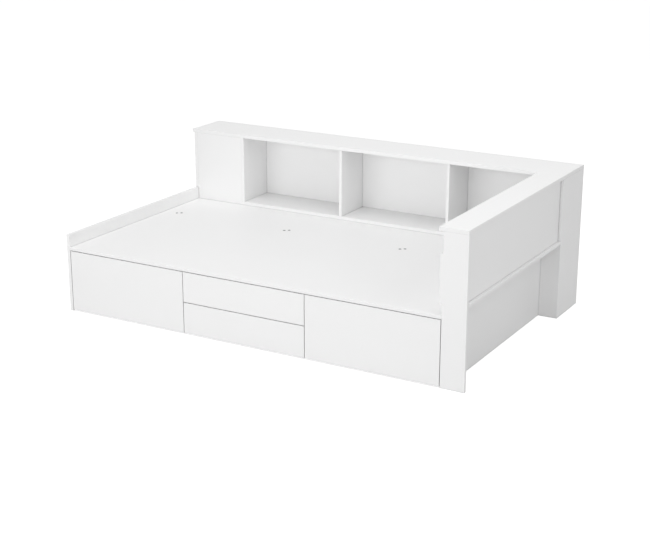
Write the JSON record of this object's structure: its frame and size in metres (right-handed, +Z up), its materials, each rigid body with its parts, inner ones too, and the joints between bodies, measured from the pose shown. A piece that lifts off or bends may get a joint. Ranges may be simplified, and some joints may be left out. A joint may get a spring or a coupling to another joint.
{
  "type": "bookcase headboard bed",
  "caption": "Low white storage daybed with a bookcase along the back, a boxed headboard with an open niche across the head end, and push-to-open drawers below.",
  "frame": {"origin": "middle of the bed's outer box, on the floor", "axes": "+X from the foot end towards the headboard, +Y from the drawer fronts towards the bookcase at the back, +Z up"},
  "size_m": [2.104, 1.325, 0.7],
  "materials": {
    "white_foil_board": "particleboard wrapped in smooth satin white foil",
    "drawer_board": "thin board wrapped in white foil",
    "drawer_bottom": "white faced hardboard",
    "pine": "planed softwood",
    "beech": "fluted beech",
    "zinc_steel": "bright zinc plate",
    "black_steel": "black zinc plate",
    "zinc_casting": "zinc casting",
    "slide_steel": "rolled galvanised steel",
    "grey_plastic": "moulded grey plastic",
    "black_plastic": "moulded plastic"
  },
  "bodies": {
    "frame": {"foot_side_panel": "white_foil_board", "head_base_panel": "white_foil_board", "base_back_board": "white_foil_board", "base_partitions": "white_foil_board", "bay_back_panels": "white_foil_board", "platform_board_foot": "white_foil_board", "platform_board_middle": "white_foil_board", "platform_board_head": "white_foil_board", "bookcase_end_panel": "white_foil_board", "compartment_side_panel": "white_foil_board", "compartment_front_panel": "white_foil_board", "bookcase_floor_shelf": "white_foil_board", "bookcase_back_panel": "white_foil_board", "cubby_dividers": "white_foil_board", "shelf_support_panels": "white_foil_board", "tower_side_panel": "white_foil_board", "front_post": "white_foil_board", "rear_post": "white_foil_board", "headboard_base_board": "white_foil_board", "headboard_inner_board": "white_foil_board", "headboard_niche_shelf": "white_foil_board", "headboard_outer_panel": "white_foil_board", "long_cap": "white_foil_board", "short_cap": "white_foil_board", "platform_battens": "pine", "platform_brackets": "zinc_steel", "platform_bolts_and_nuts": "black_steel", "cam_bolts": "zinc_steel", "cam_locks": "zinc_casting", "dowels": "beech", "slide_cabinet_members": "slide_steel", "latch_housings": "grey_plastic"},
    "drawer_foot": {"drawer_foot_front": "white_foil_board", "drawer_foot_sides": "drawer_board", "drawer_foot_back": "drawer_board", "drawer_foot_bottom": "drawer_bottom", "drawer_foot_slide_members": "slide_steel"},
    "drawer_foot_carriers": {"drawer_foot_slide_carriers": "slide_steel"},
    "drawer_foot_plunger": {"drawer_foot_latch_plunger": "black_plastic"},
    "drawer_lower": {"drawer_lower_front": "white_foil_board", "drawer_lower_sides": "drawer_board", "drawer_lower_back": "drawer_board", "drawer_lower_bottom": "drawer_bottom", "drawer_lower_slide_members": "slide_steel"},
    "drawer_lower_carriers": {"drawer_lower_slide_carriers": "slide_steel"},
    "drawer_lower_plunger": {"drawer_lower_latch_plunger": "black_plastic"},
    "drawer_upper": {"drawer_upper_front": "white_foil_board", "drawer_upper_sides": "drawer_board", "drawer_upper_back": "drawer_board", "drawer_upper_bottom": "drawer_bottom", "drawer_upper_slide_members": "slide_steel"},
    "drawer_upper_carriers": {"drawer_upper_slide_carriers": "slide_steel"},
    "drawer_upper_plunger": {"drawer_upper_latch_plunger": "black_plastic"},
    "drawer_head": {"drawer_head_front": "white_foil_board", "drawer_head_sides": "drawer_board", "drawer_head_back": "drawer_board", "drawer_head_bottom": "drawer_bottom", "drawer_head_slide_members": "slide_steel"},
    "drawer_head_carriers": {"drawer_head_slide_carriers": "slide_steel"},
    "drawer_head_plunger": {"drawer_head_latch_plunger": "black_plastic"}
  },
  "joints": [
    {"name": "drawer_foot_pull", "type": "slide", "parent": "frame", "child": "drawer_foot", "axis": [0, -1, 0], "range_m": [0, 0.65]},
    {"name": "drawer_foot_carrier_run", "type": "slide", "parent": "frame", "child": "drawer_foot_carriers", "axis": [0, -1, 0], "range_m": [0, 0.325]},
    {"name": "drawer_foot_latch_push", "type": "slide", "parent": "frame", "child": "drawer_foot_plunger", "axis": [0, 1, 0], "range_m": [0, 0.003], "stiffness_N_per_m": 300, "springref_m": -0.003},
    {"name": "drawer_lower_pull", "type": "slide", "parent": "frame", "child": "drawer_lower", "axis": [0, -1, 0], "range_m": [0, 0.65]},
    {"name": "drawer_lower_carrier_run", "type": "slide", "parent": "frame", "child": "drawer_lower_carriers", "axis": [0, -1, 0], "range_m": [0, 0.325]},
    {"name": "drawer_lower_latch_push", "type": "slide", "parent": "frame", "child": "drawer_lower_plunger", "axis": [0, 1, 0], "range_m": [0, 0.003], "stiffness_N_per_m": 300, "springref_m": -0.003},
    {"name": "drawer_upper_pull", "type": "slide", "parent": "frame", "child": "drawer_upper", "axis": [0, -1, 0], "range_m": [0, 0.65]},
    {"name": "drawer_upper_carrier_run", "type": "slide", "parent": "frame", "child": "drawer_upper_carriers", "axis": [0, -1, 0], "range_m": [0, 0.325]},
    {"name": "drawer_upper_latch_push", "type": "slide", "parent": "frame", "child": "drawer_upper_plunger", "axis": [0, 1, 0], "range_m": [0, 0.003], "stiffness_N_per_m": 300, "springref_m": -0.003},
    {"name": "drawer_head_pull", "type": "slide", "parent": "frame", "child": "drawer_head", "axis": [0, -1, 0], "range_m": [0, 0.65]},
    {"name": "drawer_head_carrier_run", "type": "slide", "parent": "frame", "child": "drawer_head_carriers", "axis": [0, -1, 0], "range_m": [0, 0.325]},
    {"name": "drawer_head_latch_push", "type": "slide", "parent": "frame", "child": "drawer_head_plunger", "axis": [0, 1, 0], "range_m": [0, 0.003], "stiffness_N_per_m": 300, "springref_m": -0.003}
  ],
  "couplings": [
    {"joint": "drawer_foot_carrier_run", "follows": "drawer_foot_pull", "ratio": 0.5},
    {"joint": "drawer_lower_carrier_run", "follows": "drawer_lower_pull", "ratio": 0.5},
    {"joint": "drawer_upper_carrier_run", "follows": "drawer_upper_pull", "ratio": 0.5},
    {"joint": "drawer_head_carrier_run", "follows": "drawer_head_pull", "ratio": 0.5}
  ]
}
